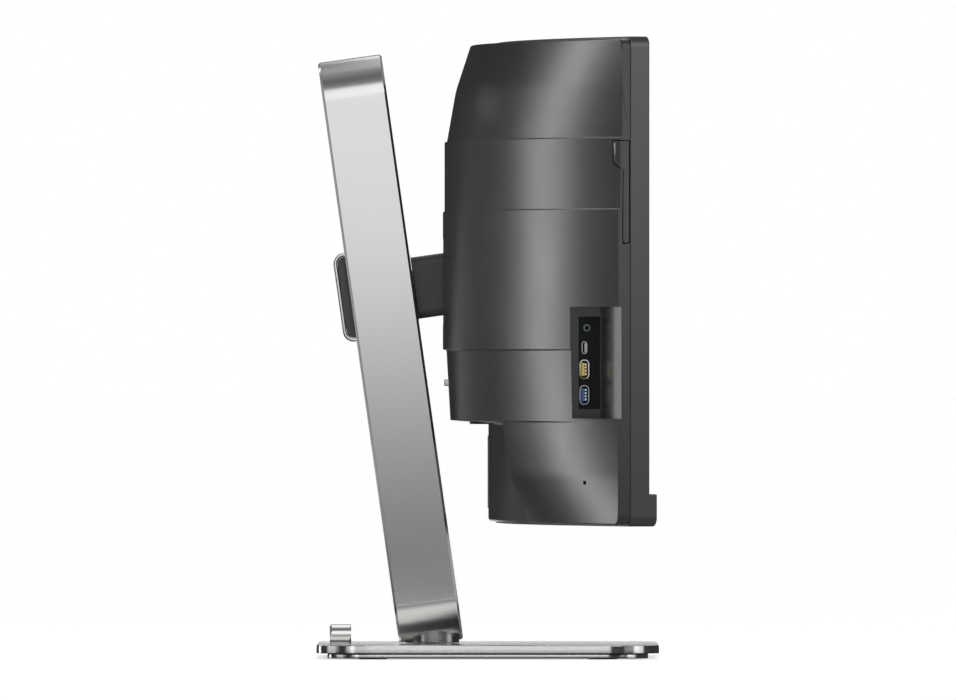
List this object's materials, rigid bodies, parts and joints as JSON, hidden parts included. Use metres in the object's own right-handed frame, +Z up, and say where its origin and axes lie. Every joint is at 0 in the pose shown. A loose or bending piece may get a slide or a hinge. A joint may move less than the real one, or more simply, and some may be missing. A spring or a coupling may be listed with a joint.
{
  "type": "computer monitor",
  "caption": "Curved ultrawide desk monitor on a leaning loop-shaped column with height, tilt and swivel adjustment, a side connector pocket and a fold-out headset hook.",
  "frame": {"origin": "On the desk surface, at the middle of the base's width and depth, which is also the bottom centre of the whole monitor's bounding box.", "axes": "+Z is up, the screen faces -Y, and +X is the user's right, along the display's length."},
  "size_m": [1.1946, 0.2624, 0.4731],
  "materials": {
    "satin_aluminium": "satin brushed, light silver",
    "polished_trim": "polished",
    "zinc_steel": "zinc plated sheet or turned steel",
    "spring_steel": "hardened strip, slightly shiny",
    "cover_plastic": "dark grey with a fine spark-eroded texture and a satin sheen",
    "bezel_plastic": "dark grey satin",
    "arm_plastic": "dark grey satin",
    "black_plastic": "black, fine texture",
    "nylon": "natural nylon",
    "rubber": "matte black",
    "screen_glass": "black screen with an anti-glare surface",
    "acrylic": "clear acrylic sheet",
    "led_board": "white aluminium-backed strip",
    "circuit_board": "green solder mask",
    "label_film": "blank pale grey film",
    "jack_green": "green moulded collar"
  },
  "bodies": {
    "base": {"base_top_plate": "satin_aluminium", "base_weight_plate": "zinc_steel", "foot_front_left": "rubber", "foot_front_right": "rubber", "foot_rear_left": "rubber", "foot_rear_right": "rubber", "base_cable_ring": "satin_aluminium", "base_thumbscrew": "zinc_steel", "swivel_hub": "satin_aluminium", "swivel_nut": "zinc_steel"},
    "column": {"column_loop": "satin_aluminium", "column_foot": "zinc_steel", "swivel_washer": "nylon", "column_front_cover": "black_plastic", "column_rear_cover": "black_plastic", "rail_left": "zinc_steel", "rail_right": "zinc_steel", "rail_head_bracket": "zinc_steel", "lift_spring": "spring_steel"},
    "carriage": {"carriage_body": "zinc_steel", "glide_left": "nylon", "glide_right": "nylon", "carriage_rear_cap": "arm_plastic", "carriage_trim": "polished_trim", "arm_beam": "zinc_steel", "arm_shell": "arm_plastic", "drum_axle": "zinc_steel", "tilt_shaft": "zinc_steel", "tilt_washer_left": "nylon", "tilt_washer_right": "nylon"},
    "lift_drum": {"spring_drum": "spring_steel"},
    "display": {"tilt_bracket": "zinc_steel", "mount_plate": "zinc_steel", "front_bezel": "bezel_plastic", "lcd_panel": "screen_glass", "light_guide": "acrylic", "led_strip": "led_board", "rear_chassis": "zinc_steel", "rear_cover": "cover_plastic", "main_board": "circuit_board", "power_board": "circuit_board", "speaker_left": "black_plastic", "speaker_right": "black_plastic", "side_port_panel": "black_plastic", "side_port_board": "circuit_board", "audio_jack": "jack_green", "usb_c_port": "zinc_steel", "usb_a_port_lower": "zinc_steel", "usb_a_port_upper": "zinc_steel", "ac_inlet": "black_plastic", "hdmi_port": "zinc_steel", "displayport_socket": "zinc_steel", "rating_label": "label_film"},
    "headset_hook": {"headset_hook": "cover_plastic"},
    "release_button": {"quick_release_button": "polished_trim"},
    "menu_key_1": {"menu_key_1": "black_plastic"},
    "menu_key_2": {"menu_key_2": "black_plastic"},
    "menu_key_3": {"menu_key_3": "black_plastic"},
    "menu_key_4": {"menu_key_4": "black_plastic"},
    "menu_key_5": {"menu_key_5": "black_plastic"}
  },
  "joints": [
    {"name": "swivel", "type": "hinge", "parent": "base", "child": "column", "pos_m": [0, 0.0425, 0.03], "axis": [0, 0, 1], "range_deg": [-20, 20]},
    {"name": "height", "type": "slide", "parent": "column", "child": "carriage", "axis": [0, 0.1392, 0.9903], "range_m": [-0.035, 0.095]},
    {"name": "drum_turn", "type": "hinge", "parent": "carriage", "child": "lift_drum", "pos_m": [0, 0.07336, 0.22509], "axis": [-1, 0, 0], "range_deg": [-240, 520]},
    {"name": "tilt", "type": "hinge", "parent": "carriage", "child": "display", "pos_m": [0, 0.02181, 0.28939], "axis": [-1, 0, 0], "range_deg": [-5, 15]},
    {"name": "hook_swing", "type": "hinge", "parent": "display", "child": "headset_hook", "pos_m": [-0.5934, -0.10425, 0.3209], "axis": [0, -1, 0], "range_deg": [0, 90]},
    {"name": "release_slide", "type": "slide", "parent": "display", "child": "release_button", "axis": [0, 0, 1], "range_m": [0, 0.0025], "stiffness_N_per_m": 400},
    {"name": "key_1_press", "type": "slide", "parent": "display", "child": "menu_key_1", "axis": [0, 0, 1], "range_m": [0, 0.0008], "stiffness_N_per_m": 1200},
    {"name": "key_2_press", "type": "slide", "parent": "display", "child": "menu_key_2", "axis": [0, 0, 1], "range_m": [0, 0.0008], "stiffness_N_per_m": 1200},
    {"name": "key_3_press", "type": "slide", "parent": "display", "child": "menu_key_3", "axis": [0, 0, 1], "range_m": [0, 0.0008], "stiffness_N_per_m": 1200},
    {"name": "key_4_press", "type": "slide", "parent": "display", "child": "menu_key_4", "axis": [0, 0, 1], "range_m": [0, 0.0008], "stiffness_N_per_m": 1200},
    {"name": "key_5_press", "type": "slide", "parent": "display", "child": "menu_key_5", "axis": [0, 0, 1], "range_m": [0, 0.0008], "stiffness_N_per_m": 1200}
  ],
  "couplings": [
    {"joint": "drum_turn", "follows": "height", "rad_per_m": 90.09}
  ]
}
